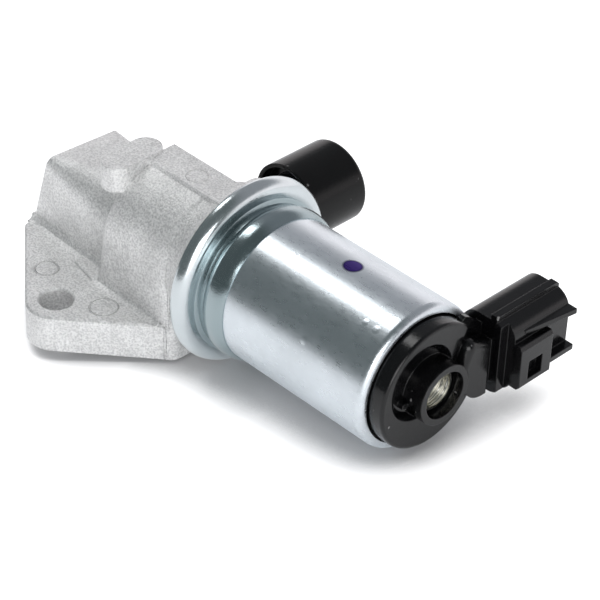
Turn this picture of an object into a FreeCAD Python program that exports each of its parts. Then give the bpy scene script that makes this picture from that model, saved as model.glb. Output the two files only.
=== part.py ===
import FreeCAD, Part
import math
import os

# Idle air control valve, in millimetres.
# The origin is the centre of the two-bolt mounting face. +X runs along the solenoid towards
# the electrical connector, +Y towards the hose nipple, +Z up from the mounting face.

# Mounting flange of the die-cast body
PLATE_T = 9.0                 # thickness of the diamond flange
BOLT_SPACING = 52.8           # between the two bolt holes, along Y
BOLT_HOLE_D = 7.4             # clearance for M6 and some float
EAR_R = 6.8                   # round of each ear about its hole
PLATE_REAR = 27.2             # mounting centre to the rear edge
PLATE_FRONT = 24.8            # mounting centre to the front face of the casting
PLATE_REAR_HALF = 13.3        # half width where the diamond meets the rear edge
PLATE_FRONT_HALF = 13.9
PLATE_CORNER_R = 2.4
PLATE_BEVEL = 0.5
HOLE_BEVEL = 0.4

# Casting above the flange
AXIS_Z = 21.6                 # solenoid axis above the mounting face
REAR_HALF_LOW = 11.0          # rear block: half widths at its foot and at its top
REAR_HALF_HIGH = 9.7
REAR_SPREAD = 1.1             # how much wider its foot is where it meets the front block
REAR_TOP = 27.0               # height of the rear block over its rear foot
REAR_CREASE_R = 0.5           # tight crease at the rear, which opens into the arch in front
REAR_ARCH_R = 11.5
REAR_ARCH_TOP = 28.4
REAR_FRONT = 2.0              # where it ends, inside the front block
REAR_LEAN = 14.4              # degrees
REAR_BEVEL_REACH = 5.4        # slanting bevel at the top of the rear wall, nothing at the near corner
REAR_BEVEL_DROP = 1.1
ARCH_R = 15.8                 # front block, round about the solenoid axis
ARCH_START = -0.7
ARCH_DRAFT = 0.4              # how far the sides draw in at their foot
ARCH_LEAN = 9.0
ARCH_REAR_ROUND = 3.4
ARCH_FAR_SLOPE = 54.0         # degrees, of the flat beyond the machined strip
CASTING_CORNER_R = 3.3        # upright corners at the front
FOOT_STEPS = ((1.6, 0.0), (0.45, 0.45), (0.0, 1.6))   # eased foot of the blocks: out from the wall, up
PAD_HALF = 4.1                # machined strip on top of the arch
PAD_STEP = 0.4                # above the arch
PAD_START = 4.2
BOSS_X = 1.6                  # cast obround boss on top
BOSS_W = 7.25
BOSS_LOW_Y = -9.8
BOSS_HIGH_Y = -1.8
BOSS_TOP = 38.5
BOSS_NOSE = 32.4              # underside of its overhanging near end
BOSS_ROOT_Y = -3.4
FLARE_START = 22.0            # round neck that widens to the solenoid flange
NECK_R = 18.5
NECK_STEPS = 4                # cone bands that make up the flare
STEP_PAD_T = 0.6              # low pad beside the rear block

# Joint between the casting and the solenoid
FACE_X = 32.0                 # front face of the casting's round flange
SEAT_FLANGE_R = 19.8
SEAT_FLANGE_T = 1.6
BODY_SEAL_LAND = 0.6          # from the can's bore to the square ring in the casting's front face
BODY_SEAL_W = 1.6
BODY_SEAL_T = 1.4
COLLAR_OD = 42.8
COLLAR_BACK = 0.7             # how far the collar's rolled edge reaches behind FACE_X
COLLAR_SHEET = 1.3
COLLAR_LENGTH = 10.2          # FACE_X to the collar's front lip
COLLAR_WAIST_R = 17.0
COLLAR_BULGE_R = 17.7
COLLAR_LIP = 0.15             # thickness at the lip

# Solenoid
CAN_OD = 33.0
CAN_WALL = 1.2
CAN_L = 49.94                 # FACE_X to the front of the rolled lip
CAN_LIP_R = 14.7
CAN_CORNER_R = 1.7            # outer round where the can rolls over the cap
REAR_PLATE_T = 3.0
FRONT_PLATE_T = 2.2
SLEEVE_R = 6.6                # guide sleeve, outside
SLEEVE_WALL = 0.5
ARMATURE_GAP = 0.05           # running clearance in the sleeve, on the radius
ARMATURE_REAR = 34.6
ARMATURE_L = 25.0
STROKE = 4.0
STOP_GAP = 0.4                # air gap left at full lift
BOBBIN_WALL = 1.2
BOBBIN_GAP = 0.2              # between its flanges and the can
WINDING_R = 13.6
CORE_TUBE_R = 5.0             # threaded tube that shows in the cap's boss
CORE_TUBE_OUT = 4.86
SCREW_R = 4.2
SCREW_OUT = 0.06
SCREW_L = 7.0
SPRING_BORE_R = 3.3
SLOT_W = 1.1
SLOT_DEPTH = 1.4

# Return spring
SPRING_R = 2.5                # to the middle of the wire
WIRE_R = 0.4
SPRING_TURNS = 8.0
POCKET_DEPTH = 6.0            # of the armature's spring pocket
SPRING_SLACK = 0.02           # seat clearance at each end

# Valve
STEM_R = 2.5
STEM_GAP = 0.04               # running clearance in the bush
SEAT_REAR = 8.0
SEAT_T = 3.0
SEAT_RING_R = 8.2
SEAT_BORE_R = 6.0
PLUG_R = 7.3
PLUG_T = 3.0
PLUG_GAP = 0.3                # between the closed plug and its seat
PLUG_SEAL_T = 1.0
NOSE_R = 5.6
NOSE_TIP_R = 3.4
CLIP_T = 0.8
CLIP_R = 4.0
STEM_TAIL = 1.0               # stem beyond the clip
GROOVE_R = 2.0                # of the stem under the clip
STEM_BACKING = 1.5            # armature left between the stem and the spring pocket
VENT_W = 1.6
STEM_SHOULDER_R = 3.4
STEM_SHOULDER_T = 1.4
GUIDE_T = 3.5
GUIDE_R = 14.0
BUSH_R = 4.0
BUSH_L = 4.4
WIPER_R = 6.4
WIPER_T = 1.6

# Air passages
CHAMBER_R = 11.0
POCKET_R = 7.0
POCKET_T = 3.0
TUNNEL_R = 6.0
TUNNEL_Z = 17.2
REAR_PORT = (-21.0, -5.0)
FRONT_PORT = (12.4, 21.6)
PORT_HALF = 6.5
PORT_CORNER_R = 3.0
REAR_PORT_TOP = 22.0

# Hose nipple and its rubber cap
NIPPLE_X = 20.0
NIPPLE_R = 6.5
NIPPLE_WALL = 1.4
NIPPLE_START = 11.4
NIPPLE_END = 35.6
NIPPLE_BEAD = 0.5
NIPPLE_BOSS_R = 8.5
NIPPLE_BOSS_END = 17.3
RUBBER_OD = 19.2
RUBBER_START = 23.0
RUBBER_END = 38.6
RUBBER_RIM = 0.9
RUBBER_RECESS = 3.0
RUBBER_EDGE_R = 1.1

# Moulded end cap
CAP_FLANGE_T = 2.6
CAP_GAP = 0.1                 # between the cap's flange and the can
CAP_BEVEL = 0.6
CAP_R = 14.25
CAP_OUT = 3.81
CAP_EDGE_R = 0.7
RECESS_Y = -3.0               # off-centre recess round the boss
RECESS_Z = 2.6
RECESS_R = 8.6
RECESS_FLOOR_R = 7.2
RECESS_DEPTH = 1.5
BOSS_R = 6.85
BOSS_OUT = 7.41
BOSS_BORE_R = 5.35
CAP_SEAL_R = 14.0
CAP_SEAL_T = 1.2

# Connector, moulded in one piece with the cap
SHELL_OUT = 2.76
SHELL_HALF_W = 6.3            # along X
SHELL_HALF_H = 8.9            # along Z
SHELL_CORNER_R = 4.4
SHELL_FLAT_OUT = 6.96         # front of its near end, which the latch box stands out from
SHELL_START = 16.2
SHELL_END = 35.0
SHELL_WALL = 1.3
SOCKET_FLOOR = 21.5
ARM_OUT = 6.06                # post beside the boss that carries the connector
ARM_REAR_OUT = 0.31
ARM_HEEL = (8.6, 7.8)         # its upper corner, Y and Z
ARM_LEAN_Y = 5.2              # where its leaning side would meet the axis
ARM_TOP = 5.5                 # at its far end
ARM_LOW = -7.8
ARM_END = 14.2
ARM_SWEEP_R = 6.0             # round of its lower corner by the boss
ARM_ROUND = 2.0
WAIST_INSET = 1.3
WEB_T = 1.5
WEB_R = 15.4                  # where the rib leaves the cap's rim
WEB_END = 5.5
LATCH_OUT = 11.06
LATCH_Y = (18.5, 28.0)
LATCH_Z = (-6.75, 4.1)
LATCH_BEVEL = (0.5, 0.9)      # along X and Z
LATCH_FOOT_BEVEL = 0.7
WINDOW_Y = (21.0, 25.2)
WINDOW_Z = (-4.9, -0.4)
WINDOW_DEPTH = 1.6
FIN_T = 1.25
FIN_HIGH_Z = 4.85
FIN_HIGH_START = 21.5
FIN_LOW_Z = -4.35
KEY_OUT = 4.06
KEY_W = 1.7
KEY_TOP = 10.2
KEY_BEVEL = 0.6
NUB_R = 0.8                   # moulding nub beside the boss
NUB_Y = -7.6
NUB_Z = -1.0
BLADE_T = 0.8
BLADE_W = 1.8
BLADE_PITCH = 5.0
BLADE_END = 31.0
BLADE_Y = 12.0

CENTRE = FreeCAD.Vector(0, 0, AXIS_Z)
ALONG = FreeCAD.Vector(1, 0, 0)
SIDE = FreeCAD.Vector(0, 1, 0)
UP = FreeCAD.Vector(0, 0, 1)
NIPPLE_CENTRE = FreeCAD.Vector(NIPPLE_X, 0, AXIS_Z)

EAR_Y = BOLT_SPACING / 2
ARCH_FOOT_HALF = ARCH_R - ARCH_DRAFT
PAD_RISE = ARCH_R + PAD_STEP
CAN_R = CAN_OD / 2
CAN_FRONT = FACE_X + CAN_L
CORE_TUBE_FRONT = CAN_FRONT + CORE_TUBE_OUT
SCREW_FRONT = CAN_FRONT + SCREW_OUT
CAP_FRONT = CAN_FRONT + CAP_OUT
BOSS_FRONT = CAN_FRONT + BOSS_OUT
SHELL_X = CAN_FRONT + SHELL_OUT
SHELL_FLAT = CAN_FRONT + SHELL_FLAT_OUT
ARM_FRONT = CAN_FRONT + ARM_OUT
ARM_REAR = CAN_FRONT + ARM_REAR_OUT
LATCH_FRONT = CAN_FRONT + LATCH_OUT
KEY_X = CAN_FRONT + KEY_OUT
CAN_IN_R = CAN_R - CAN_WALL
BODY_SEAL_R = CAN_IN_R + BODY_SEAL_LAND
CAN_LIP_REAR = CAN_FRONT - CAN_WALL
CAP_REAR = CAN_LIP_REAR - CAP_FLANGE_T
FRONT_PLATE_REAR = CAP_REAR - FRONT_PLATE_T
REAR_PLATE_FRONT = FACE_X + REAR_PLATE_T
ARMATURE_R = SLEEVE_R - SLEEVE_WALL - ARMATURE_GAP
ARMATURE_FRONT = ARMATURE_REAR + ARMATURE_L
CORE_REAR = ARMATURE_FRONT + STROKE + STOP_GAP
CORE_R = SLEEVE_R - SLEEVE_WALL
SEAT_FRONT = SEAT_REAR + SEAT_T
PLUG_REAR = SEAT_FRONT + PLUG_GAP
PLUG_FRONT = PLUG_REAR + PLUG_T
CLIP_FRONT = SEAT_REAR + 0.4
STEM_REAR = CLIP_FRONT - CLIP_T - STEM_TAIL
GUIDE_REAR = FACE_X - GUIDE_T
SCREW_REAR = SCREW_FRONT - SCREW_L
SPRING_REAR = ARMATURE_FRONT - POCKET_DEPTH
STEM_FRONT = SPRING_REAR - STEM_BACKING
SLEEVE_REAR = FACE_X + 1.0


def outline(points, place):
    """Closed face through flat points. A point of four values is reached by an arc through its last two."""
    edges = []
    here = points[0][:2]
    for point in points[1:] + [points[0][:2]]:
        start, end = place(*here), place(*point[:2])
        if len(point) == 4:
            edges.append(Part.Arc(start, place(*point[2:]), end).toShape())
        else:
            edges.append(Part.makeLine(start, end))
        here = point[:2]
    return Part.Face(Part.Wire(edges))


def turned(profile, centre=CENTRE, along=ALONG):
    """Solid turned about a line, from a profile of distances along it and radii."""
    face = outline(profile, lambda a, r: centre + along * a + UP * r)
    return face.revolve(centre, along, 360)


def rod(start, end, radius, centre=CENTRE, along=ALONG):
    return Part.makeCylinder(radius, end - start, centre + along * start, along)


def ring(start, end, inner, outer, centre=CENTRE, along=ALONG):
    return rod(start, end, outer, centre, along).cut(rod(start, end, inner, centre, along))


def block(x, y, z):
    """Box from three pairs of limits."""
    corner = FreeCAD.Vector(x[0], y[0], z[0])
    return Part.makeBox(x[1] - x[0], y[1] - y[0], z[1] - z[0], corner)


def slab(points, low, high):
    """Plan outline raised from one height to another."""
    return outline(points, lambda x, y: FreeCAD.Vector(x, y, low)).extrude(UP * (high - low))


def side_slab(points, low, high):
    """Outline in the X-Z plane, with Z from the solenoid axis, carried along Y."""
    return outline(points, lambda x, z: FreeCAD.Vector(x, low, AXIS_Z + z)).extrude(SIDE * (high - low))


def rounded_pocket(x, half, low, high, radius):
    """Pocket with round upright corners, centred on the X axis."""
    solid = block(x, (-half, half), (low, high))
    upright = [e for e in solid.Edges if abs(e.BoundBox.ZLength - (high - low)) < 1e-6]
    return solid.makeFillet(radius, upright)


def touch_point(corner, centre, radius, turn):
    """Where the tangent from a corner meets an ear's round. turn is +1 or -1."""
    dx, dy = corner[0] - centre[0], corner[1] - centre[1]
    angle = math.atan2(dy, dx) + turn * math.acos(radius / math.hypot(dx, dy))
    return (centre[0] + radius * math.cos(angle), centre[1] + radius * math.sin(angle))


def flange_plate():
    """Diamond flange with two round ears and the top edge bevelled."""
    plate = plate_prism(0, PLATE_T)
    corners = [e for e in plate.Edges if is_upright(e) and abs(e.BoundBox.YMin) < EAR_Y / 1.5]
    plate = plate.makeFillet(PLATE_CORNER_R, corners)
    top = [e for e in plate.Edges if e.BoundBox.ZMin > PLATE_T - 1e-3]
    return plate.makeChamfer(PLATE_BEVEL, top)


def plate_prism(low, high):
    """The flange's plan outline, raised from one height to another."""
    rear, front = (-PLATE_REAR, PLATE_REAR_HALF), (PLATE_FRONT, PLATE_FRONT_HALF)
    ear = (0, EAR_Y)
    rear_touch = touch_point(rear, ear, EAR_R, -1)
    front_touch = touch_point(front, ear, EAR_R, 1)
    upper = [rear, rear_touch, front_touch + (0, EAR_Y + EAR_R), front]
    lower = [(front[0], -front[1]), (front_touch[0], -front_touch[1]),
             (rear_touch[0], -rear_touch[1], 0, -EAR_Y - EAR_R), (rear[0], -rear[1])]
    return slab(upper + lower, low, high)


def is_upright(edge):
    box = edge.BoundBox
    return box.ZLength > 1 and box.XLength < 1e-6 and box.YLength < 1e-6


def rear_section(x, foot_half, top_half, top, crease):
    """Section of the rear block: two leaning sides, two round creases and a flat top."""
    foot = PLATE_T / 2
    slope = math.atan2(foot_half - top_half, top - foot)
    turn = math.pi / 2 + slope
    across = crease / math.tan(turn / 2)
    up_side = (top_half + math.sin(slope) * across, top - math.cos(slope) * across)
    centre = (top_half - across, top - crease)
    middle_angle = turn / 2 - slope
    middle = (centre[0] + crease * math.cos(middle_angle), centre[1] + crease * math.sin(middle_angle))
    half = [(foot_half, foot), up_side, (centre[0], top) + middle]
    other = [(-centre[0], top), (-up_side[0], up_side[1], -middle[0], middle[1]), (-foot_half, foot)]
    return outline(half + other, lambda y, z: FreeCAD.Vector(x, y, z)).OuterWire


def rear_block():
    """Block over the outlet passage: a tight crease behind that opens into an arch in front."""
    first = rear_section(-PLATE_REAR, REAR_HALF_LOW, REAR_HALF_HIGH, REAR_TOP, REAR_CREASE_R)
    arch_half = REAR_ARCH_R + 0.3
    last = rear_section(REAR_FRONT, arch_half + 0.4, arch_half, REAR_ARCH_TOP, REAR_ARCH_R)
    solid = Part.makeLoft([first, last], True, True)
    return solid.cut([leaning_cut(-PLATE_REAR + 0.3, REAR_LEAN), rear_bevel()])


def rear_bevel():
    """Wedge taken off the top of the rear wall, wider towards +Y."""
    slope = math.tan(math.radians(REAR_LEAN))
    edge_x = 0.3 - PLATE_REAR + slope * (REAR_TOP - PLATE_T)
    rise = (REAR_ARCH_TOP - REAR_TOP) / (REAR_FRONT + PLATE_REAR)
    near = FreeCAD.Vector(edge_x, -REAR_HALF_HIGH, REAR_TOP + rise * (edge_x + PLATE_REAR))
    far_x = edge_x + REAR_BEVEL_REACH
    far = FreeCAD.Vector(far_x, REAR_HALF_HIGH, REAR_TOP + rise * (far_x + PLATE_REAR))
    low = FreeCAD.Vector(edge_x, REAR_HALF_HIGH, near.z - REAR_BEVEL_DROP)
    normal = (far - near).cross(low - near).normalize()
    if normal.z < 0:
        normal = normal * -1
    base = near - (far - near) - (low - near) * 3
    side_a, side_b = (far - near) * 3, (low - near) * 6
    wire = Part.makePolygon([base, base + side_a, base + side_a + side_b, base + side_b, base])
    return Part.Face(wire).extrude(normal * 10)


def leaning_cut(foot_x, lean):
    """Everything behind a face that leans forward from its foot on the flange."""
    high = BOSS_TOP + 5
    top_x = foot_x + math.tan(math.radians(lean)) * (high - PLATE_T)
    points = [(foot_x - 40, 0), (foot_x, 0), (foot_x, PLATE_T), (top_x, high), (foot_x - 40, high)]
    face = outline(points, lambda x, z: FreeCAD.Vector(x, -40, z))
    return face.extrude(SIDE * 80)


def front_block():
    """Arch about the solenoid axis on upright sides, with its rear edge well rounded and a far-side flat."""
    points = [(-ARCH_FOOT_HALF, PLATE_T / 2), (-ARCH_R, AXIS_Z), (ARCH_R, AXIS_Z, 0, AXIS_Z + ARCH_R),
              (ARCH_FOOT_HALF, PLATE_T / 2)]
    start = ARCH_START - 5
    face = outline(points, lambda y, z: FreeCAD.Vector(start, y, z))
    solid = face.extrude(ALONG * (PLATE_FRONT - start)).cut(leaning_cut(ARCH_START, ARCH_LEAN))
    front = [e for e in solid.Edges if e.BoundBox.XMin > PLATE_FRONT - 1e-3 and e.BoundBox.ZMax < AXIS_Z + 1
             and e.BoundBox.ZLength > 2]
    solid = solid.makeFillet(CASTING_CORNER_R, front)
    rear = [e for e in solid.Edges if is_rear_rim(e)]
    return solid.makeFillet(ARCH_REAR_ROUND, rear).cut(far_side())


def far_side():
    """Everything beyond a flat that slopes down from the machined strip's far edge."""
    reach = ARCH_R
    fall = reach * math.tan(math.radians(ARCH_FAR_SLOPE))
    top = math.sqrt(ARCH_R ** 2 - PAD_HALF ** 2)
    points = [(PAD_HALF, AXIS_Z + top), (PAD_HALF + reach, AXIS_Z + top - fall),
              (PAD_HALF + reach, AXIS_Z + 2 * ARCH_R), (PAD_HALF, AXIS_Z + 2 * ARCH_R)]
    face = outline(points, lambda y, z: FreeCAD.Vector(ARCH_START - 5, y, z))
    return face.extrude(ALONG * (FLARE_START + 5 - ARCH_START))


def is_rear_rim(edge):
    """Edges round the leaning rear face, apart from its foot."""
    box = edge.BoundBox
    lean = math.tan(math.radians(ARCH_LEAN)) * (AXIS_Z + ARCH_R - PLATE_T)
    return box.XMax < ARCH_START + lean + 1e-3 and box.ZLength > 1 and box.ZMax > PLATE_T + 1


def top_boss():
    """Obround boss whose near end overhangs the shoulder of the casting."""
    return boss_slab(BOSS_LOW_Y, BOSS_NOSE, BOSS_TOP).fuse(boss_slab(BOSS_ROOT_Y, AXIS_Z + 3, BOSS_NOSE))


def boss_slab(low_y, low, high):
    radius = BOSS_W / 2
    points = [(BOSS_X - radius, low_y), (BOSS_X + radius, low_y, BOSS_X, low_y - radius),
              (BOSS_X + radius, BOSS_HIGH_Y), (BOSS_X - radius, BOSS_HIGH_Y, BOSS_X, BOSS_HIGH_Y + radius)]
    return slab(points, low, high)


def neck():
    """Round neck that flares in a hollow curve from the arch to the flange under the collar."""
    seat_rear = FACE_X - SEAT_FLANGE_T
    low = ARCH_R - ARCH_DRAFT
    length, rise = seat_rear - FLARE_START, NECK_R - low
    radius = (length ** 2 + rise ** 2) / (2 * rise)
    profile = [(FLARE_START, 0), (FLARE_START, low)]
    for step in range(1, NECK_STEPS + 1):
        angle = math.asin(length / radius) * step / NECK_STEPS
        profile.append((FLARE_START + radius * math.sin(angle), low + radius * (1 - math.cos(angle))))
    return turned(profile + [(seat_rear, SEAT_FLANGE_R), (FACE_X, SEAT_FLANGE_R), (FACE_X, 0)])


def casting_passages():
    """Everything cored or bored out of the casting."""
    rear_port = rounded_pocket(REAR_PORT, PORT_HALF, -1, REAR_PORT_TOP, PORT_CORNER_R)
    tunnel_centre = FreeCAD.Vector(0, 0, TUNNEL_Z)
    tunnel = rod((REAR_PORT[0] + REAR_PORT[1]) / 2, SEAT_REAR - POCKET_T / 2, TUNNEL_R, tunnel_centre)
    pocket = rod(SEAT_REAR - POCKET_T, SEAT_REAR, POCKET_R)
    seat_bore = rod(SEAT_REAR, SEAT_FRONT, SEAT_RING_R)
    chamber = rod(SEAT_FRONT, GUIDE_REAR, CHAMBER_R)
    guide_bore = rod(GUIDE_REAR, FACE_X, GUIDE_R)
    front_port = rounded_pocket(FRONT_PORT, PORT_HALF, -1, AXIS_Z - CHAMBER_R / 2, PORT_CORNER_R)
    nipple_bore = rod(CHAMBER_R / 2, NIPPLE_BOSS_END, NIPPLE_R, NIPPLE_CENTRE, SIDE)
    return [rear_port, tunnel, pocket, seat_bore, chamber, guide_bore, front_port, nipple_bore]


def bolt_holes():
    holes = []
    for y in (-EAR_Y, EAR_Y):
        centre = FreeCAD.Vector(0, y, 0)
        holes.append(rod(-1, PLATE_T + 1, BOLT_HOLE_D / 2, centre, UP))
        lead = centre + UP * (PLATE_T - HOLE_BEVEL)
        holes.append(Part.makeCone(BOLT_HOLE_D / 2, BOLT_HOLE_D / 2 + HOLE_BEVEL, HOLE_BEVEL, lead, UP))
    return holes


def step_pad():
    """Low pad between the two blocks on the near side of the flange."""
    side = -REAR_HALF_LOW
    points = [(-8.5, side), (-7.5, side - 4), (0.1, side - 5.5), (1.5, side)]
    return slab(points, PLATE_T - 1, PLATE_T + STEP_PAD_T)


def valve_body():
    pad = block((PAD_START, FACE_X - SEAT_FLANGE_T), (-PAD_HALF, PAD_HALF),
                (AXIS_Z + CHAMBER_R, AXIS_Z + PAD_RISE))
    nipple_boss = rod(ARCH_R / 2, NIPPLE_BOSS_END, NIPPLE_BOSS_R, NIPPLE_CENTRE, SIDE)
    blocks = [rear_block(), front_block(), neck(), pad, top_boss(), nipple_boss, step_pad()]
    body = flange_plate().fuse(blocks + [rear_foot(), front_foot()])
    seal_groove = ring(FACE_X - BODY_SEAL_T, FACE_X + 1, BODY_SEAL_R, BODY_SEAL_R + BODY_SEAL_W)
    return body.cut(casting_passages() + bolt_holes() + [seal_groove])


def eased_foot(corners, outwards):
    """Two slopes round a block's foot. corners and outwards are plan points and their ways out."""
    sections = []
    for out, up in FOOT_STEPS:
        points = []
        for (x, y), (along, across) in zip(corners, outwards):
            points.append(FreeCAD.Vector(x + along * out, y + across * out, PLATE_T + up))
        sections.append(Part.makePolygon(points + points[:1]))
    foot = Part.makeLoft(sections, True, True)
    return foot.common(plate_prism(PLATE_T, AXIS_Z))


def front_foot():
    """Eased foot along both sides and the rear of the front block."""
    end, half = PLATE_FRONT - CASTING_CORNER_R, ARCH_FOOT_HALF
    corner = ARCH_REAR_ROUND * (2 - math.sqrt(2))
    mitre = math.tan(math.pi / 8)
    corners = [(ARCH_START + corner, -half), (end, -half), (end, half), (ARCH_START + corner, half),
               (ARCH_START, half - corner), (ARCH_START, corner - half)]
    return eased_foot(corners, [(-mitre, -1), (0, -1), (0, 1), (-mitre, 1), (-1, mitre), (-1, -mitre)])


def rear_foot():
    """Eased foot along both sides of the rear block."""
    near, far = REAR_HALF_LOW, REAR_HALF_LOW + REAR_SPREAD
    corners = [(-PLATE_REAR, -near), (ARCH_START, -far), (ARCH_START, far), (-PLATE_REAR, near)]
    return eased_foot(corners, [(0, -1), (0, -1), (0, 1), (0, 1)])


def seat_ring():
    """Pressed-in ring with a bevelled lip that the plug's nose enters."""
    lip = 0.6
    profile = [(SEAT_REAR, SEAT_BORE_R), (SEAT_REAR, SEAT_RING_R), (SEAT_FRONT, SEAT_RING_R),
               (SEAT_FRONT, SEAT_BORE_R + lip), (SEAT_FRONT - lip, SEAT_BORE_R)]
    return turned(profile)


def valve_plug():
    """Disc with a tapering nose, bored for the stem, and a pocket for its sealing ring."""
    bevel = 0.6
    profile = [(CLIP_FRONT, STEM_R), (CLIP_FRONT, NOSE_TIP_R), (PLUG_REAR, NOSE_R),
               (PLUG_REAR + PLUG_SEAL_T, NOSE_R), (PLUG_REAR + PLUG_SEAL_T, PLUG_R),
               (PLUG_FRONT - bevel, PLUG_R), (PLUG_FRONT, PLUG_R - bevel), (PLUG_FRONT, STEM_R)]
    return turned(profile)


def plug_seal():
    return ring(PLUG_REAR, PLUG_REAR + PLUG_SEAL_T, NOSE_R, PLUG_R)


def stem_clip():
    """Open snap ring in the stem's groove, behind the plug."""
    rear = CLIP_FRONT - CLIP_T
    gap = block((rear, CLIP_FRONT), (-GROOVE_R, GROOVE_R), (AXIS_Z - CLIP_R - 1, AXIS_Z))
    return ring(rear, CLIP_FRONT, GROOVE_R, CLIP_R).cut(gap)


def valve_stem():
    """Rod with a clip groove, a shoulder for the plug and a front end held in the armature."""
    groove = CLIP_FRONT - CLIP_T
    shoulder_front = PLUG_FRONT + STEM_SHOULDER_T
    profile = [(STEM_REAR, 0), (STEM_REAR, STEM_R), (groove, STEM_R), (groove, GROOVE_R),
               (CLIP_FRONT, GROOVE_R), (CLIP_FRONT, STEM_R), (PLUG_FRONT, STEM_R),
               (PLUG_FRONT, STEM_SHOULDER_R), (shoulder_front, STEM_SHOULDER_R), (shoulder_front, STEM_R),
               (STEM_FRONT, STEM_R), (STEM_FRONT, 0)]
    return turned(profile)


def armature():
    """Plunger on the stem, with a spring pocket in front and a groove that lets air past."""
    bevel = 0.5
    body = turned([(ARMATURE_REAR, STEM_R), (ARMATURE_REAR, ARMATURE_R - bevel),
                   (ARMATURE_REAR + bevel, ARMATURE_R), (ARMATURE_FRONT - bevel, ARMATURE_R),
                   (ARMATURE_FRONT, ARMATURE_R - bevel), (ARMATURE_FRONT, SPRING_BORE_R),
                   (SPRING_REAR, SPRING_BORE_R), (SPRING_REAR, 0), (STEM_FRONT, 0), (STEM_FRONT, STEM_R)])
    vent = block((ARMATURE_REAR - 1, ARMATURE_FRONT + 1), (-VENT_W / 2, VENT_W / 2),
                 (AXIS_Z + ARMATURE_R - VENT_W / 2, AXIS_Z + ARMATURE_R + 1))
    return body.cut(vent)


def guide_plate():
    return ring(GUIDE_REAR, FACE_X, BUSH_R, GUIDE_R)


def stem_bush():
    return ring(GUIDE_REAR, GUIDE_REAR + BUSH_L, STEM_R + STEM_GAP, BUSH_R)


def stem_wiper():
    """Rubber wiper that keeps intake dirt out of the bush."""
    bore = STEM_R + STEM_GAP
    profile = [(GUIDE_REAR - WIPER_T, bore), (GUIDE_REAR - WIPER_T, bore + 1),
               (GUIDE_REAR - WIPER_T / 2, WIPER_R), (GUIDE_REAR, WIPER_R), (GUIDE_REAR, bore)]
    return turned(profile)


def body_seal():
    return ring(FACE_X - BODY_SEAL_T, FACE_X, BODY_SEAL_R, BODY_SEAL_R + BODY_SEAL_W)


def mounting_collar():
    """Pressed steel collar: a rolled rim round the casting's flange, a waist and a bulge over the can."""
    can_flange = FACE_X + CAN_WALL
    front = can_flange + COLLAR_SHEET
    rim_r = COLLAR_OD / 2
    roll_middle = (FACE_X + 0.72 * (front - FACE_X), rim_r - 0.82)
    lip, lip_r = FACE_X + COLLAR_LENGTH, CAN_R + COLLAR_LIP
    bulge = front + 4.4
    lip_middle = ((bulge + lip) / 2 + 0.35, COLLAR_BULGE_R - 0.32)
    profile = [(FACE_X - COLLAR_BACK, SEAT_FLANGE_R), (FACE_X - COLLAR_BACK, rim_r - 0.1),
               (FACE_X - 0.2, rim_r), (front, rim_r - 2.5) + roll_middle,
               (front, COLLAR_WAIST_R + 0.9), (front + 0.5, COLLAR_WAIST_R + 0.9),
               (front + 0.9, COLLAR_WAIST_R), (front + 2.1, COLLAR_WAIST_R),
               (bulge, COLLAR_BULGE_R, front + 2.9, COLLAR_BULGE_R - 0.22),
               (lip, lip_r) + lip_middle, (lip, CAN_R), (can_flange, CAN_R), (can_flange, SEAT_FLANGE_R)]
    return turned(profile)


def solenoid_can():
    """Drawn steel shell, flanged behind and rolled over the end cap in front."""
    corner, inner = CAN_CORNER_R, CAN_CORNER_R - CAN_WALL
    bend, inner_bend = corner * (1 - math.sqrt(0.5)), inner * (1 - math.sqrt(0.5))
    can_flange = FACE_X + CAN_WALL
    profile = [(FACE_X, CAN_IN_R), (FACE_X, SEAT_FLANGE_R), (can_flange, SEAT_FLANGE_R),
               (can_flange, CAN_R), (CAN_FRONT - corner, CAN_R),
               (CAN_FRONT, CAN_R - corner, CAN_FRONT - bend, CAN_R - bend), (CAN_FRONT, CAN_LIP_R),
               (CAN_LIP_REAR, CAN_LIP_R), (CAN_LIP_REAR, CAN_IN_R - inner),
               (CAN_LIP_REAR - inner, CAN_IN_R, CAN_LIP_REAR - inner_bend, CAN_IN_R - inner_bend)]
    return turned(profile)


def rear_pole_plate():
    return ring(FACE_X, REAR_PLATE_FRONT, SLEEVE_R, CAN_IN_R)


def front_pole_plate():
    """Flux plate under the end cap, with a slot that lets the terminals through."""
    slot_half = BLADE_PITCH / 2 + BLADE_W
    slot = block((FRONT_PLATE_REAR - 1, CAP_REAR + 1), (BLADE_Y - BLADE_W, CAN_R),
                 (AXIS_Z - slot_half, AXIS_Z + slot_half))
    return ring(FRONT_PLATE_REAR, CAP_REAR, SLEEVE_R, CAN_IN_R).cut(slot)


def guide_sleeve():
    return ring(SLEEVE_REAR, CAP_REAR, SLEEVE_R - SLEEVE_WALL, SLEEVE_R)


def coil_bobbin():
    """Moulded spool that the coil is wound on."""
    tube_r, flange_r = SLEEVE_R + BOBBIN_WALL, CAN_IN_R - BOBBIN_GAP
    rear, front = REAR_PLATE_FRONT, FRONT_PLATE_REAR
    profile = [(rear, SLEEVE_R), (rear, flange_r), (rear + BOBBIN_WALL, flange_r), (rear + BOBBIN_WALL, tube_r),
               (front - BOBBIN_WALL, tube_r), (front - BOBBIN_WALL, flange_r), (front, flange_r), (front, SLEEVE_R)]
    return turned(profile)


def coil_winding():
    return ring(REAR_PLATE_FRONT + BOBBIN_WALL, FRONT_PLATE_REAR - BOBBIN_WALL, SLEEVE_R + BOBBIN_WALL, WINDING_R)


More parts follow.
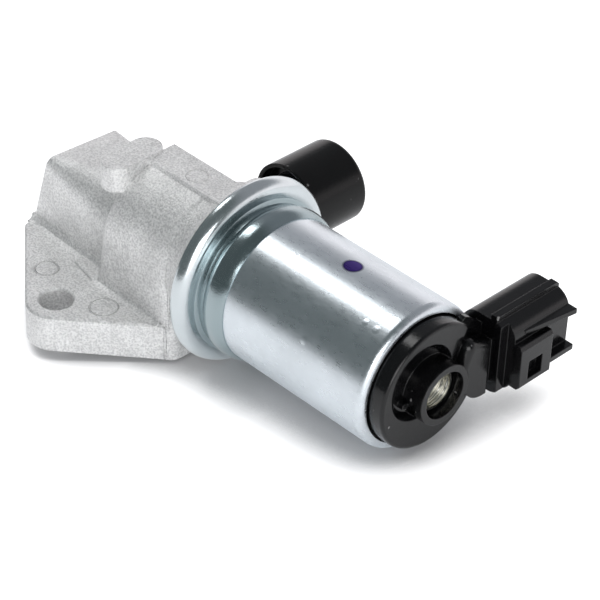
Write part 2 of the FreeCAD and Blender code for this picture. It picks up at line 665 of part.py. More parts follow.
def pole_core():
    """Fixed core with the spring's bore, and the threaded tube that takes the adjusting screw."""
    step = SCREW_REAR - SPRING_BORE_R / 3
    bevel = 0.4
    profile = [(CORE_REAR, SPRING_BORE_R), (CORE_REAR, CORE_R), (CAP_REAR, CORE_R), (CAP_REAR, CORE_TUBE_R),
               (CORE_TUBE_FRONT - bevel, CORE_TUBE_R), (CORE_TUBE_FRONT, CORE_TUBE_R - bevel),
               (CORE_TUBE_FRONT, SCREW_R), (step, SCREW_R), (step, SPRING_BORE_R)]
    return turned(profile)


def adjusting_screw():
    """Set screw behind the spring, slotted in front."""
    slot = block((SCREW_FRONT - SLOT_DEPTH, SCREW_FRONT + 1), (-SCREW_R - 1, SCREW_R + 1),
                 (AXIS_Z - SLOT_W / 2, AXIS_Z + SLOT_W / 2))
    return rod(SCREW_REAR, SCREW_FRONT, SCREW_R).cut(slot)


def return_spring():
    """Coiled wire between the armature's pocket and the adjusting screw. The wire has six flat sides."""
    start = SPRING_REAR + WIRE_R + SPRING_SLACK
    length = SCREW_REAR - WIRE_R - SPRING_SLACK - start
    path = Part.makeHelix(length / SPRING_TURNS, length, SPRING_R)
    corners = []
    for step in range(7):
        angle = math.radians(30 + 60 * step)
        corners.append(FreeCAD.Vector(SPRING_R + WIRE_R * math.cos(angle), 0, WIRE_R * math.sin(angle)))
    coil = Part.Wire(path.Edges).makePipeShell([Part.makePolygon(corners)], True, True)
    coil.rotate(FreeCAD.Vector(0, 0, 0), SIDE, 90)
    coil.translate(CENTRE + ALONG * start)
    return coil


def nipple_outside():
    """Outer form of the steel nipple, with the bead that holds a hose."""
    bead = NIPPLE_END - 3
    return [(NIPPLE_START, NIPPLE_R), (bead - 1.6, NIPPLE_R), (bead, NIPPLE_R + NIPPLE_BEAD),
            (bead + 1.2, NIPPLE_R), (NIPPLE_END - 0.5, NIPPLE_R), (NIPPLE_END, NIPPLE_R - 0.5)]


def hose_nipple():
    bore = NIPPLE_R - NIPPLE_WALL
    profile = [(NIPPLE_START, bore)] + nipple_outside() + [(NIPPLE_END, bore)]
    return turned(profile, NIPPLE_CENTRE, SIDE)


def port_cap():
    """Rubber cap pushed over the nipple, with a thin rim round a recess at its open end."""
    radius, edge = RUBBER_OD / 2, RUBBER_EDGE_R
    bend = edge * (1 - math.sqrt(0.5))
    profile = [(RUBBER_START, 0), (RUBBER_START, radius), (RUBBER_END - edge, radius),
               (RUBBER_END, radius - edge, RUBBER_END - bend, radius - bend), (RUBBER_END, 0)]
    cap = turned(profile, NIPPLE_CENTRE, SIDE)
    recess = rod(RUBBER_START - 1, RUBBER_START + RUBBER_RECESS, radius - RUBBER_RIM, NIPPLE_CENTRE, SIDE)
    nipple = turned([(NIPPLE_START, 0)] + nipple_outside() + [(NIPPLE_END, 0)], NIPPLE_CENTRE, SIDE)
    return cap.cut([recess, nipple])


def cap_seal():
    return ring(CAP_REAR, CAP_REAR + CAP_SEAL_T, CAP_SEAL_R, CAN_IN_R)


def cap_disc():
    """Round part of the end cap: flange under the can's lip, side band and front face."""
    bend = CAP_EDGE_R * (1 - math.sqrt(0.5))
    flange_r = CAN_IN_R - CAP_GAP
    profile = [(CAP_REAR, 0), (CAP_REAR, CAP_SEAL_R), (CAP_REAR + CAP_SEAL_T, CAP_SEAL_R),
               (CAP_REAR + CAP_SEAL_T, flange_r), (CAN_LIP_REAR - CAP_BEVEL, flange_r),
               (CAN_LIP_REAR, flange_r - CAP_BEVEL), (CAN_LIP_REAR, CAP_R), (CAP_FRONT - CAP_EDGE_R, CAP_R),
               (CAP_FRONT, CAP_R - CAP_EDGE_R, CAP_FRONT - bend, CAP_R - bend), (CAP_FRONT, 0)]
    return turned(profile)


def face_recess():
    """Off-centre dished recess in the cap's face."""
    centre = CENTRE + SIDE * RECESS_Y + UP * RECESS_Z + ALONG * (CAP_FRONT - RECESS_DEPTH)
    return Part.makeCone(RECESS_FLOOR_R, RECESS_R, RECESS_DEPTH, centre, ALONG)


def rounded_shell(inset, start, end):
    """Upright rounded section about the connector's axis, carried along Y."""
    half_w, half_h, corner = SHELL_HALF_W - inset, SHELL_HALF_H - inset, SHELL_CORNER_R - inset
    solid = block((SHELL_X - half_w, SHELL_X + half_w), (start, end), (AXIS_Z - half_h, AXIS_Z + half_h))
    along = [e for e in solid.Edges if e.BoundBox.YLength > end - start - 1e-6]
    return solid.makeFillet(corner, along)


def arm():
    """Post that carries the connector: domed over its top, swept in below towards the boss."""
    sweep_y, sweep_z = ARM_END - ARM_SWEEP_R - 1, ARM_LOW + ARM_SWEEP_R
    bend = ARM_SWEEP_R * (1 - math.sqrt(0.5))
    corners = [(ARM_LEAN_Y, 0), ARM_HEEL, (ARM_END, ARM_TOP), (ARM_END, ARM_LOW),
               (sweep_y + ARM_SWEEP_R, ARM_LOW), (sweep_y, sweep_z, sweep_y + bend, ARM_LOW + bend)]
    face = outline(corners, lambda y, z: FreeCAD.Vector(ARM_REAR, y, AXIS_Z + z))
    post = face.extrude(ALONG * (ARM_FRONT - ARM_REAR))
    heel = [e for e in post.Edges if abs(e.BoundBox.YMin - ARM_HEEL[0]) < 1e-3 and e.BoundBox.XLength > 1
            and e.BoundBox.ZMin > AXIS_Z + ARM_TOP]
    post = post.makeFillet(ARM_ROUND, heel)
    front = [e for e in post.Edges if e.BoundBox.XMin > ARM_FRONT - 1e-3 and is_arm_top(e)]
    return post.makeFillet(ARM_ROUND, front)


def is_arm_top(edge):
    """Front edges of the arm above the axis, apart from its upright far edge."""
    box = edge.BoundBox
    return box.ZMax > AXIS_Z + ARM_LOW / 8 and box.YLength > 0.1 and box.ZMin > AXIS_Z - 1e-3


def waist():
    """Narrow neck between the arm and the connector's shell."""
    return block((ARM_REAR, ARM_FRONT - WAIST_INSET), (ARM_END, SHELL_START),
                 (AXIS_Z + ARM_LOW + WAIST_INSET, AXIS_Z + ARM_TOP - WAIST_INSET))


def face_step():
    """Part of the cap's face beside the arm that lies lower, up to the rim."""
    slope = (ARM_HEEL[0] - ARM_LEAN_Y) / ARM_HEEL[1]
    corners = [(ARM_LEAN_Y, 0), (ARM_LEAN_Y + slope * CAP_R, CAP_R), (CAP_R + 1, CAP_R), (CAP_R + 1, 0)]
    face = outline(corners, lambda y, z: FreeCAD.Vector(ARM_REAR, y, AXIS_Z + z))
    return face.extrude(ALONG * (CAP_FRONT + 1 - ARM_REAR))


def web():
    """Thin rib from the cap's rim to the connector."""
    rim = WEB_R * math.sqrt(0.5)
    inner = CAP_R / 2
    corners = [(inner, ARM_TOP / 2), (inner, inner), (rim, rim), (rim + WEB_T, rim - WEB_T / 2),
               (SHELL_START + WEB_T, WEB_END), (SHELL_START + WEB_T, ARM_TOP / 2)]
    face = outline(corners, lambda y, z: FreeCAD.Vector(ARM_REAR, y, AXIS_Z + z))
    return face.extrude(ALONG * WEB_T)


def latch_box():
    """Catch for the plug's latch, bevelled along its top and bottom front edges."""
    low, high = LATCH_Z
    points = [(SHELL_X, low), (LATCH_FRONT - LATCH_FOOT_BEVEL, low), (LATCH_FRONT, low + LATCH_FOOT_BEVEL),
              (LATCH_FRONT, high - LATCH_BEVEL[1]), (LATCH_FRONT - LATCH_BEVEL[0], high), (SHELL_X, high)]
    box = side_slab(points, LATCH_Y[0], LATCH_Y[1])
    window = block((LATCH_FRONT - WINDOW_DEPTH, LATCH_FRONT + 1), WINDOW_Y,
                   (AXIS_Z + WINDOW_Z[0], AXIS_Z + WINDOW_Z[1]))
    return box.cut(window)


def fins():
    """Two guide fins on the front of the shell. The upper one widens towards the mouth."""
    root = SHELL_X + SHELL_HALF_W - SHELL_WALL
    low = AXIS_Z + FIN_HIGH_Z
    upper = slab([(root, FIN_HIGH_START), (root + SHELL_WALL, FIN_HIGH_START), (LATCH_FRONT, SHELL_END),
                  (root, SHELL_END)], low, low + FIN_T)
    lower = block((root, LATCH_FRONT), (LATCH_Y[1], SHELL_END), (AXIS_Z + FIN_LOW_Z, AXIS_Z + FIN_LOW_Z + FIN_T))
    return [upper, lower]


def key_rail():
    """Rail on top of the connector, bevelled at its tip."""
    low, high = AXIS_Z + SHELL_HALF_H - SHELL_WALL, AXIS_Z + KEY_TOP
    points = [(SHELL_START, low), (SHELL_START, high), (SHELL_END - KEY_BEVEL, high),
              (SHELL_END, high - KEY_BEVEL), (SHELL_END, low)]
    return outline(points, lambda y, z: FreeCAD.Vector(KEY_X, y, z)).extrude(ALONG * KEY_W)


def connector_shell():
    """Rounded shell with a flat at its near end, where the latch box stands out."""
    shell = rounded_shell(0, SHELL_START, SHELL_END)
    flat = block((SHELL_FLAT, LATCH_FRONT), (SHELL_START - 1, LATCH_Y[0]),
                 (AXIS_Z - SHELL_HALF_H - 1, AXIS_Z + SHELL_HALF_H + 1))
    return shell.cut(flat)


def end_cap():
    """Moulded cap with its connector in one piece."""
    disc = cap_disc().cut([face_recess(), face_step()])
    boss = rod(CAP_REAR, BOSS_FRONT, BOSS_R)
    nub = rod(CAN_LIP_REAR, CAP_FRONT, NUB_R, CENTRE + SIDE * NUB_Y + UP * NUB_Z)
    cap = disc.fuse([boss, nub, arm(), waist(), connector_shell(), web(), latch_box(), key_rail()] + fins())
    bore = rod(CAN_LIP_REAR, BOSS_FRONT + 1, BOSS_BORE_R)
    tube = rod(CAP_REAR - 1, CAN_LIP_REAR, CORE_TUBE_R)
    socket = rounded_shell(SHELL_WALL, SOCKET_FLOOR, SHELL_END + 1)
    return cap.cut([bore, tube, socket, terminal(-1), terminal(1)])


def terminal(side):
    """Flat L-shaped blade from the coil to the connector. side is -1 or +1, below or above the axis."""
    middle = AXIS_Z + side * BLADE_PITCH / 2
    height = (middle - BLADE_W / 2, middle + BLADE_W / 2)
    bend = SHELL_X + BLADE_T / 2
    leg = block((FRONT_PLATE_REAR, bend), (BLADE_Y - BLADE_T / 2, BLADE_Y + BLADE_T / 2), height)
    blade = block((bend - BLADE_T, bend), (BLADE_Y - BLADE_T / 2, BLADE_END), height)
    return leg.fuse(blade).removeSplitter()


def terminal_low():
    return terminal(-1)


def terminal_high():
    return terminal(1)


PIECES = [valve_body, seat_ring, valve_plug, plug_seal, stem_clip, valve_stem, armature, guide_plate,
          stem_bush, stem_wiper, body_seal, mounting_collar, solenoid_can, rear_pole_plate,
          front_pole_plate, guide_sleeve, coil_bobbin, coil_winding, pole_core, adjusting_screw,
          return_spring, hose_nipple, port_cap, cap_seal, end_cap, terminal_low, terminal_high]

os.makedirs("parts", exist_ok=True)
for piece in PIECES:
    piece().exportStep("parts/" + piece.__name__ + ".step")
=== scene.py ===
import math

import bpy
from mathutils import Matrix, Vector


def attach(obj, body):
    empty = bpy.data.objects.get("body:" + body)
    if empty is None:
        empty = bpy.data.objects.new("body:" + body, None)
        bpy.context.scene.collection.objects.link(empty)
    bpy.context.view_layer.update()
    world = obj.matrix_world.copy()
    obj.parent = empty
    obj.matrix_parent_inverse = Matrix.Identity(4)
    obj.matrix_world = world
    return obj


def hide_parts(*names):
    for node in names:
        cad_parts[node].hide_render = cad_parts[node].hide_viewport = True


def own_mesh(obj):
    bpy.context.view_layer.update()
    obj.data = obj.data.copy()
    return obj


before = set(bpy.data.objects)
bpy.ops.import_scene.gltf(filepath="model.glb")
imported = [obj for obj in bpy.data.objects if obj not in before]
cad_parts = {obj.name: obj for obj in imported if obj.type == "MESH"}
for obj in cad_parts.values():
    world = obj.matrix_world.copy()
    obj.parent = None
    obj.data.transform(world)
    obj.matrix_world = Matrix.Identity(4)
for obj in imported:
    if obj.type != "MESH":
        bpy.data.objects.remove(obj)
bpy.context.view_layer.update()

# Camera solved from the photograph, in the part's own frame, in metres and degrees.
CAMERA_AT = Vector((0.3272, -0.28179, 0.31783))
AZIMUTH = 44.74
ELEVATION = 36.69
ROLL = 2.03
LENS = 142.8

# The valve lies on its collar and the front of its can.
AXIS_Z = 0.0216
COLLAR_X, COLLAR_R = 0.0315, 0.0214
CAN_X, CAN_R = 0.0803, 0.0165

# Marks on the casting: ejector pins with their radii, and the mould line's flash with its half sizes.
PIN_CIRCLES = (((0.0166, -0.0004, 0.0378), 0.0024),
               ((-0.0101, -0.0209, 0.009), 0.0026),
               ((0.0092, -0.0208, 0.009), 0.0031))
FLASH = (((0.0236, -0.0150, 0.0175), (0.0002, 0.003, 0.0085)),
         ((0.0230, -0.0152, 0.0045), (0.0002, 0.003, 0.005)))

# Marks on the can: a dot of ink with a paler middle, and small nicks with their sizes.
DOT = (0.0618, 0.0008, 0.0381)
INK = ((DOT, (0.0022, 0.0021, 0.0021), (0.02, 0.007, 0.11)),
       (DOT, (0.0018, 0.0017, 0.0017), (0.07, 0.035, 0.26)))
NICKS = (((0.0746, -0.0084, 0.0358), 0.0005), ((0.0776, -0.0085, 0.0357), 0.0006),
         ((0.0642, -0.0149, 0.0287), 0.0006), ((0.0813, -0.0156, 0.0247), 0.0010),
         ((0.0811, -0.0160, 0.0208), 0.0009))
WAIST_PAINTED_SHADE = (0.0174, 0.0192, (0.36, 0.43, 0.45))    # radii about the collar's waist, and the colour of the painted shade there
THREAD_PITCH = 0.0012
DUST = (0.16, 0.16, 0.16)                        # specks on moulded pieces

FLOOR_REACH = 6.0
FLOOR_GAP = 0.0003
PAPER = (0.94, 0.95, 0.96)
PAPER_TO_CAMERA = (0.56, 0.565, 0.575)           # the same, as the camera sees its shadows
PAPER_SEEN = 0.85                                # how much it glows to the camera
PAPER_REFLECTED = 0.05                           # and in reflections
CONTACT_REACH = 0.018                            # how far the glow fades round what lies on it
CONTACT_DARK, CONTACT_CLEAR = 0.38, 0.70

# Background and skylight, as linear colours.
DIM_FRONT, DIM_BEHIND = (0.135, 0.155, 0.158), (0.30, 0.31, 0.33)
BACKDROP = (1.12, 1.08, 1.10)
SKY_LOW, SKY_HIGH = (0.38, 0.38, 0.39), (0.92, 0.92, 0.93)

# Sockets of Blender's Mix node when it mixes colours.
MIX_FIRST, MIX_SECOND, MIX_RESULT = 6, 7, 2


def tree_of(material):
    """Nodes, links and shader of a material."""
    material.use_nodes = True
    nodes, links = material.node_tree.nodes, material.node_tree.links
    return nodes, links, nodes["Principled BSDF"]


def noise(nodes, links, coords, scale, detail=4.0, stretch=(1, 1, 1), roughness=0.55):
    """Noise in the part's own frame. The scale is in features per metre."""
    mapping = nodes.new("ShaderNodeMapping")
    mapping.inputs["Scale"].default_value = [s * scale for s in stretch]
    links.new(coords, mapping.inputs["Vector"])
    tex = nodes.new("ShaderNodeTexNoise")
    tex.inputs["Scale"].default_value = 1.0
    tex.inputs["Detail"].default_value = detail
    tex.inputs["Roughness"].default_value = roughness
    links.new(mapping.outputs["Vector"], tex.inputs["Vector"])
    return tex.outputs["Fac"]


def rgba(value):
    """A grey value or a colour, with full alpha."""
    if isinstance(value, (int, float)):
        return (value, value, value, 1)
    return tuple(value) + (1,)


def ramp(nodes, links, factor, low, high, low_at=0.3, high_at=0.7):
    """A colour or grey ramp between two values."""
    node = nodes.new("ShaderNodeValToRGB")
    ends = node.color_ramp.elements
    ends[0].position, ends[1].position = low_at, high_at
    ends[0].color, ends[1].color = rgba(low), rgba(high)
    links.new(factor, node.inputs["Fac"])
    return node.outputs["Color"]


def bump(nodes, links, height, strength, distance, under=None):
    """Normal that follows a height, over another normal where one is given."""
    node = nodes.new("ShaderNodeBump")
    node.inputs["Strength"].default_value = strength
    node.inputs["Distance"].default_value = distance
    links.new(height, node.inputs["Height"])
    if under is not None:
        links.new(under, node.inputs["Normal"])
    return node.outputs["Normal"]


def spot(nodes, links, coords, centre, radii, edge=0.35):
    """Mask that is one inside an ellipsoid and falls to zero over its edge."""
    shift = nodes.new("ShaderNodeMapping")
    shift.inputs["Location"].default_value = [-c / r for c, r in zip(centre, radii)]
    shift.inputs["Scale"].default_value = [1 / r for r in radii]
    links.new(coords, shift.inputs["Vector"])
    length = nodes.new("ShaderNodeVectorMath")
    length.operation = "LENGTH"
    links.new(shift.outputs["Vector"], length.inputs[0])
    fall = nodes.new("ShaderNodeMapRange")
    fall.inputs["From Min"].default_value = 1 - edge
    fall.inputs["From Max"].default_value = 1 + edge
    fall.inputs["To Min"].default_value = 1
    fall.inputs["To Max"].default_value = 0
    links.new(length.outputs["Value"], fall.inputs["Value"])
    return fall.outputs["Result"]


def from_axis(nodes, links, coords):
    """Distance from the solenoid's axis."""
    flat = nodes.new("ShaderNodeMapping")
    flat.inputs["Location"].default_value = (0, 0, -AXIS_Z)
    flat.inputs["Scale"].default_value = (0, 1, 1)
    links.new(coords, flat.inputs["Vector"])
    length = nodes.new("ShaderNodeVectorMath")
    length.operation = "LENGTH"
    links.new(flat.outputs["Vector"], length.inputs[0])
    return length.outputs["Value"]


def rounded(nodes, radius):
    """Normal that rounds the edges a little."""
    node = nodes.new("ShaderNodeBevel")
    node.inputs["Radius"].default_value = radius
    return node.outputs["Normal"]


def fade(nodes, links, value, off_at, on_at):
    """Zero at one value and one at the other, with soft ends."""
    node = nodes.new("ShaderNodeMapRange")
    node.interpolation_type = "SMOOTHSTEP"
    node.inputs["From Min"].default_value = off_at
    node.inputs["From Max"].default_value = on_at
    links.new(value, node.inputs["Value"])
    return node.outputs["Result"]


def circle(nodes, links, coords, centre, radius, width=0.0003):
    """Mask along a thin circle on the surface, where a sphere about the centre meets it."""
    away = nodes.new("ShaderNodeVectorMath")
    away.operation = "DISTANCE"
    away.inputs[1].default_value = centre
    links.new(coords, away.inputs[0])
    off = nodes.new("ShaderNodeMath")
    off.operation = "SUBTRACT"
    off.inputs[1].default_value = radius
    links.new(away.outputs["Value"], off.inputs[0])
    near = nodes.new("ShaderNodeMath")
    near.operation = "ABSOLUTE"
    links.new(off.outputs[0], near.inputs[0])
    return fade(nodes, links, near.outputs[0], width, 0)


def mixed(nodes, links, factor, first, second, blend="MIX"):
    """Blend of two colours, each given as a value or a socket, and so is the factor."""
    node = nodes.new("ShaderNodeMix")
    node.data_type, node.blend_type = "RGBA", blend
    if isinstance(factor, bpy.types.NodeSocket):
        links.new(factor, node.inputs["Factor"])
    else:
        node.inputs["Factor"].default_value = factor
    for socket, value in ((node.inputs[MIX_FIRST], first), (node.inputs[MIX_SECOND], second)):
        if isinstance(value, bpy.types.NodeSocket):
            links.new(value, socket)
        else:
            socket.default_value = rgba(value)
    return node.outputs[MIX_RESULT]


def scaled(nodes, links, value, factor, more=None):
    """The value times a factor, plus another value where one is given."""
    node = nodes.new("ShaderNodeMath")
    node.operation = "MULTIPLY_ADD"
    node.inputs[1].default_value = factor
    node.inputs[2].default_value = 0
    links.new(value, node.inputs[0])
    if more is not None:
        links.new(more, node.inputs[2])
    return node.outputs[0]


def cast_metal(name, circles, flash):
    """Die-cast aluminium with a fine blasted grain, ejector pin marks and a mould line."""
    material = bpy.data.materials.new(name)
    nodes, links, shader = tree_of(material)
    coords = nodes.new("ShaderNodeTexCoord").outputs["Object"]
    shader.inputs["Metallic"].default_value = 0.7
    grain = noise(nodes, links, coords, 2200, detail=3, roughness=0.6)
    patches = noise(nodes, links, coords, 160, detail=5)
    colour = ramp(nodes, links, grain, (0.67, 0.67, 0.67), (0.98, 0.98, 0.975), 0.38, 0.60)
    tone = ramp(nodes, links, patches, (0.84, 0.84, 0.84), (1.0, 1.0, 1.0), 0.3, 0.7)
    links.new(mixed(nodes, links, 1.0, colour, tone, "MULTIPLY"), shader.inputs["Base Color"])
    links.new(ramp(nodes, links, grain, 0.36, 0.54), shader.inputs["Roughness"])
    surface = bump(nodes, links, grain, 0.7, 0.00028, rounded(nodes, 0.0004))
    surface = bump(nodes, links, patches, 0.25, 0.0005, surface)
    for centre, radius in circles:
        surface = bump(nodes, links, circle(nodes, links, coords, centre, radius), 0.9, 0.0003, surface)
    for centre, radii in flash:
        surface = bump(nodes, links, spot(nodes, links, coords, centre, radii), 0.9, 0.0003, surface)
    links.new(surface, shader.inputs["Normal"])
    return material


def plated(name, colour, rough, streaks=0.12, waist_painted_shade=None, marks=(), nicks=()):
    """Rolled or drawn steel under zinc, with fine lines along its length, faint handling marks, and
    painted shade about its waist where that is given.
    """
    material = bpy.data.materials.new(name)
    nodes, links, shader = tree_of(material)
    coords = nodes.new("ShaderNodeTexCoord").outputs["Object"]
    shader.inputs["Metallic"].default_value = 1.0
    lines = noise(nodes, links, coords, 1300, detail=4, stretch=(0.3, 1, 1))
    cloud = noise(nodes, links, coords, 90, detail=6)
    tint = ramp(nodes, links, cloud, [c * 0.90 for c in colour], colour, 0.35, 0.65)
    # painted shade: the collar's waist is darkened in colour where shade falls in its hollow
    if waist_painted_shade:
        low, high, shade = waist_painted_shade
        waist = fade(nodes, links, from_axis(nodes, links, coords), high, low)
        tint = mixed(nodes, links, waist, tint, shade)
    for centre, radii, mark in marks:
        tint = mixed(nodes, links, spot(nodes, links, coords, centre, radii, 0.12), tint, mark)
    links.new(tint, shader.inputs["Base Color"])
    links.new(ramp(nodes, links, lines, rough * 0.85, rough * 1.15), shader.inputs["Roughness"])
    surface = bump(nodes, links, lines, streaks, 0.00003)
    surface = bump(nodes, links, noise(nodes, links, coords, 2200, detail=2), 0.35, 0.00004, surface)
    surface = bump(nodes, links, cloud, 0.15, 0.0002, surface)
    for centre, size in nicks:
        nick = spot(nodes, links, coords, centre, (size, size, size), 0.6)
        surface = bump(nodes, links, nick, 0.6, 0.00008, surface)
    links.new(surface, shader.inputs["Normal"])
    return material


def moulded(name, colour, rough, grain=1500, depth=0.00004, shine=0.5):
    """Moulded plastic or rubber with a faint grain."""
    material = bpy.data.materials.new(name)
    nodes, links, shader = tree_of(material)
    coords = nodes.new("ShaderNodeTexCoord").outputs["Object"]
    fine = noise(nodes, links, coords, grain, detail=3)
    cloud = noise(nodes, links, coords, 120, detail=4)
    tint = ramp(nodes, links, cloud, [c * 0.75 for c in colour], colour)
    specks = ramp(nodes, links, noise(nodes, links, coords, 700, detail=0), 0, 1, 0.82, 0.88)
    links.new(mixed(nodes, links, specks, tint, DUST), shader.inputs["Base Color"])
    links.new(ramp(nodes, links, cloud, rough * 0.8, rough * 1.25), shader.inputs["Roughness"])
    links.new(bump(nodes, links, fine, 0.5, depth, rounded(nodes, 0.00035)), shader.inputs["Normal"])
    shader.inputs["Specular IOR Level"].default_value = shine
    return material


def turned_metal(name, colour, rough, pitch=None):
    """Machined metal with fine rings about the solenoid's axis, and a thread where it has a pitch."""
    material = bpy.data.materials.new(name)
    nodes, links, shader = tree_of(material)
    coords = nodes.new("ShaderNodeTexCoord").outputs["Object"]
    shader.inputs["Metallic"].default_value = 1.0
    rings = noise(nodes, links, coords, 1800, detail=2, stretch=(1, 0.05, 0.05))
    links.new(ramp(nodes, links, rings, [c * 0.8 for c in colour], colour), shader.inputs["Base Color"])
    links.new(ramp(nodes, links, rings, rough * 0.8, rough * 1.3), shader.inputs["Roughness"])
    surface = bump(nodes, links, rings, 0.4, 0.00003)
    if pitch:
        thread = nodes.new("ShaderNodeTexWave")
        thread.inputs["Scale"].default_value = math.pi / 10 / pitch    # a scale of 1 repeats after pi / 10
        links.new(coords, thread.inputs["Vector"])
        surface = bump(nodes, links, thread.outputs["Fac"], 0.8, 0.0003, surface)
    links.new(surface, shader.inputs["Normal"])
    return material


def dress(materials):
    """Give each node its material."""
    for node, material in materials.items():
        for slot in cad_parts[node].material_slots:
            slot.material = material


def make_materials():
    """One material for each kind of surface, on every node."""
    cast = cast_metal("cast_aluminium", PIN_CIRCLES, FLASH)
    can = plated("zinc_can", (0.77, 0.82, 0.86), 0.30, marks=INK, nicks=NICKS)
    collar = plated("collar_steel", (0.72, 0.77, 0.79), 0.20, waist_painted_shade=WAIST_PAINTED_SHADE)
    steel = turned_metal("machined_steel", (0.62, 0.61, 0.58), 0.28)
    threaded = turned_metal("threaded_steel", (0.82, 0.81, 0.75), 0.20, pitch=THREAD_PITCH)
    brass = turned_metal("brass", (0.80, 0.60, 0.28), 0.28)
    tinned = turned_metal("tinned_brass", (0.80, 0.78, 0.70), 0.22)
    copper = turned_metal("enamelled_copper", (0.62, 0.24, 0.10), 0.35)
    nylon = moulded("black_nylon", (0.003, 0.003, 0.0035), 0.17, shine=0.42)
    rubber = moulded("black_rubber", (0.003, 0.003, 0.003), 0.17, shine=0.26)
    pale = moulded("pale_nylon", (0.72, 0.68, 0.56), 0.45)
    dress({
        "valve_body": cast, "solenoid_can": can, "mounting_collar": collar, "hose_nipple": can,
        "seat_ring": brass, "guide_plate": brass, "guide_sleeve": brass,
        "valve_stem": steel, "armature": steel, "rear_pole_plate": steel, "front_pole_plate": steel,
        "pole_core": threaded, "adjusting_screw": threaded, "return_spring": steel, "stem_clip": steel,
        "terminal_low": tinned, "terminal_high": tinned, "coil_winding": copper,
        "valve_plug": pale, "stem_bush": pale, "coil_bobbin": pale,
        "plug_seal": rubber, "stem_wiper": rubber, "body_seal": rubber, "cap_seal": rubber,
        "port_cap": rubber, "end_cap": nylon,
    })


def live_spring():
    """The return spring, copied into an object of its own on the housing, with the solid hidden. The copy
    keeps the solid's shape; the real spring shortens against its seat on the adjusting screw as the
    plunger lifts.
    """
    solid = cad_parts["return_spring"]
    spring = bpy.data.objects.new("spring_coil", solid.data.copy())
    spring.matrix_world = solid.matrix_world
    spring.data.materials.clear()
    spring.data.materials.append(bpy.data.materials["machined_steel"])
    bpy.context.scene.collection.objects.link(spring)
    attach(spring, "housing")
    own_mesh(spring)
    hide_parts("return_spring")


def floor():
    """Pale floor through the foot of the collar and the foot of the can. It is clear from below."""
    rear = Vector((COLLAR_X, 0, AXIS_Z - COLLAR_R))
    front = Vector((CAN_X, 0, AXIS_Z - CAN_R))
    along = (front - rear).normalized()
    side = Vector((0, 1, 0))
    up = along.cross(side)
    middle = rear - up * FLOOR_GAP
    signs = ((-1, -1), (1, -1), (1, 1), (-1, 1))
    corners = [middle + (along * a + side * b) * FLOOR_REACH for a, b in signs]
    mesh = bpy.data.meshes.new("floor")
    mesh.from_pydata([tuple(c) for c in corners], [], [(0, 1, 2, 3)])
    obj = bpy.data.objects.new("floor", mesh)
    bpy.context.scene.collection.objects.link(obj)
    material = bpy.data.materials.new("floor_paper")
    nodes, links, shader = tree_of(material)
    shader.inputs["Roughness"].default_value = 0.7
    ray = nodes.new("ShaderNodeLightPath")
    paper = mixed(nodes, links, ray.outputs["Is Camera Ray"], PAPER, PAPER_TO_CAMERA)
    links.new(paper, shader.inputs["Base Color"])
    seen = scaled(nodes, links, ray.outputs["Is Camera Ray"], PAPER_SEEN)
    lift = scaled(nodes, links, ray.outputs["Is Glossy Ray"], PAPER_REFLECTED, seen)
    shade = nodes.new("ShaderNodeAmbientOcclusion")
    shade.inputs["Distance"].default_value = CONTACT_REACH
    clear = ramp(nodes, links, shade.outputs["AO"], 0, 1, CONTACT_DARK, CONTACT_CLEAR)
    links.new(clear, shader.inputs["Emission Color"])
    links.new(lift, shader.inputs["Emission Strength"])
    from_below = nodes.new("ShaderNodeMixShader")
    links.new(nodes.new("ShaderNodeNewGeometry").outputs["Backfacing"], from_below.inputs["Fac"])
    links.new(shader.outputs["BSDF"], from_below.inputs[1])
    links.new(nodes.new("ShaderNodeBsdfTransparent").outputs["BSDF"], from_below.inputs[2])
    links.new(from_below.outputs["Shader"], nodes["Material Output"].inputs["Surface"])
    mesh.materials.append(material)


def softbox(name, place, target, size, power):
    """Area lamp of a width and a height that looks at a target."""
    data = bpy.data.lights.new(name, "AREA")
    data.shape = "RECTANGLE"
    data.size, data.size_y = size
    data.energy = power
    obj = bpy.data.objects.new(name, data)
    obj.location = place
    toward = Vector(target) - Vector(place)
    obj.rotation_euler = toward.to_track_quat("-Z", "Y").to_euler()
    bpy.context.scene.collection.objects.link(obj)


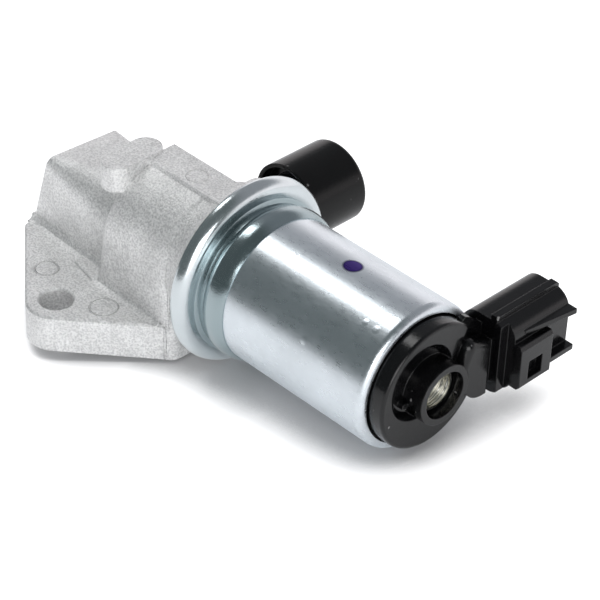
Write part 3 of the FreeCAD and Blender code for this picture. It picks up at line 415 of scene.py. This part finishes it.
def room():
    """Dim studio with a pale backdrop low behind the part."""
    world = bpy.data.worlds.new("studio")
    world.use_nodes = True
    nodes, links = world.node_tree.nodes, world.node_tree.links
    split = nodes.new("ShaderNodeSeparateXYZ")
    links.new(nodes.new("ShaderNodeTexCoord").outputs["Generated"], split.inputs["Vector"])
    low = fade(nodes, links, split.outputs["Z"], 0.50, 0.24)
    behind = fade(nodes, links, split.outputs["Y"], 0.05, 0.45)
    both = nodes.new("ShaderNodeMath")
    both.operation = "MULTIPLY"
    links.new(low, both.inputs[0])
    links.new(behind, both.inputs[1])
    dim = mixed(nodes, links, behind, DIM_FRONT, DIM_BEHIND)
    shown = mixed(nodes, links, both.outputs[0], dim, BACKDROP)
    soft = nodes.new("ShaderNodeLightPath").outputs["Is Diffuse Ray"]
    sky = mixed(nodes, links, fade(nodes, links, split.outputs["Z"], 0.1, 0.8), SKY_LOW, SKY_HIGH)
    links.new(mixed(nodes, links, soft, shown, sky), nodes["Background"].inputs["Color"])
    bpy.context.scene.world = world


def light():
    """The room, a lamp high at the rear and a soft one in front."""
    room()
    centre = (0.03, 0, 0.02)
    softbox("overhead", (-0.49, 0.03, 0.76), centre, (0.24, 0.50), 1.4)
    softbox("front_fill", (0.75, -0.45, 0.30), centre, (0.6, 0.6), 4.0)


def camera():
    """The photograph's camera."""
    azimuth, elevation, roll = (math.radians(a) for a in (AZIMUTH, ELEVATION, ROLL))
    back = Vector((math.sin(azimuth) * math.cos(elevation), -math.cos(azimuth) * math.cos(elevation),
                   math.sin(elevation)))
    level = Vector((math.cos(azimuth), math.sin(azimuth), 0))
    above = back.cross(level)
    right = level * math.cos(roll) + above * math.sin(roll)
    up = above * math.cos(roll) - level * math.sin(roll)
    data = bpy.data.cameras.new("camera")
    data.lens = LENS
    data.sensor_width = 36
    data.clip_start = 0.01
    obj = bpy.data.objects.new("camera", data)
    turn = Matrix((right, up, back)).transposed()
    obj.matrix_world = Matrix.Translation(CAMERA_AT) @ turn.to_4x4()
    bpy.context.scene.collection.objects.link(obj)
    bpy.context.scene.camera = obj


make_materials()
live_spring()
floor()
light()
camera()
bpy.context.scene.view_settings.view_transform = "Standard"
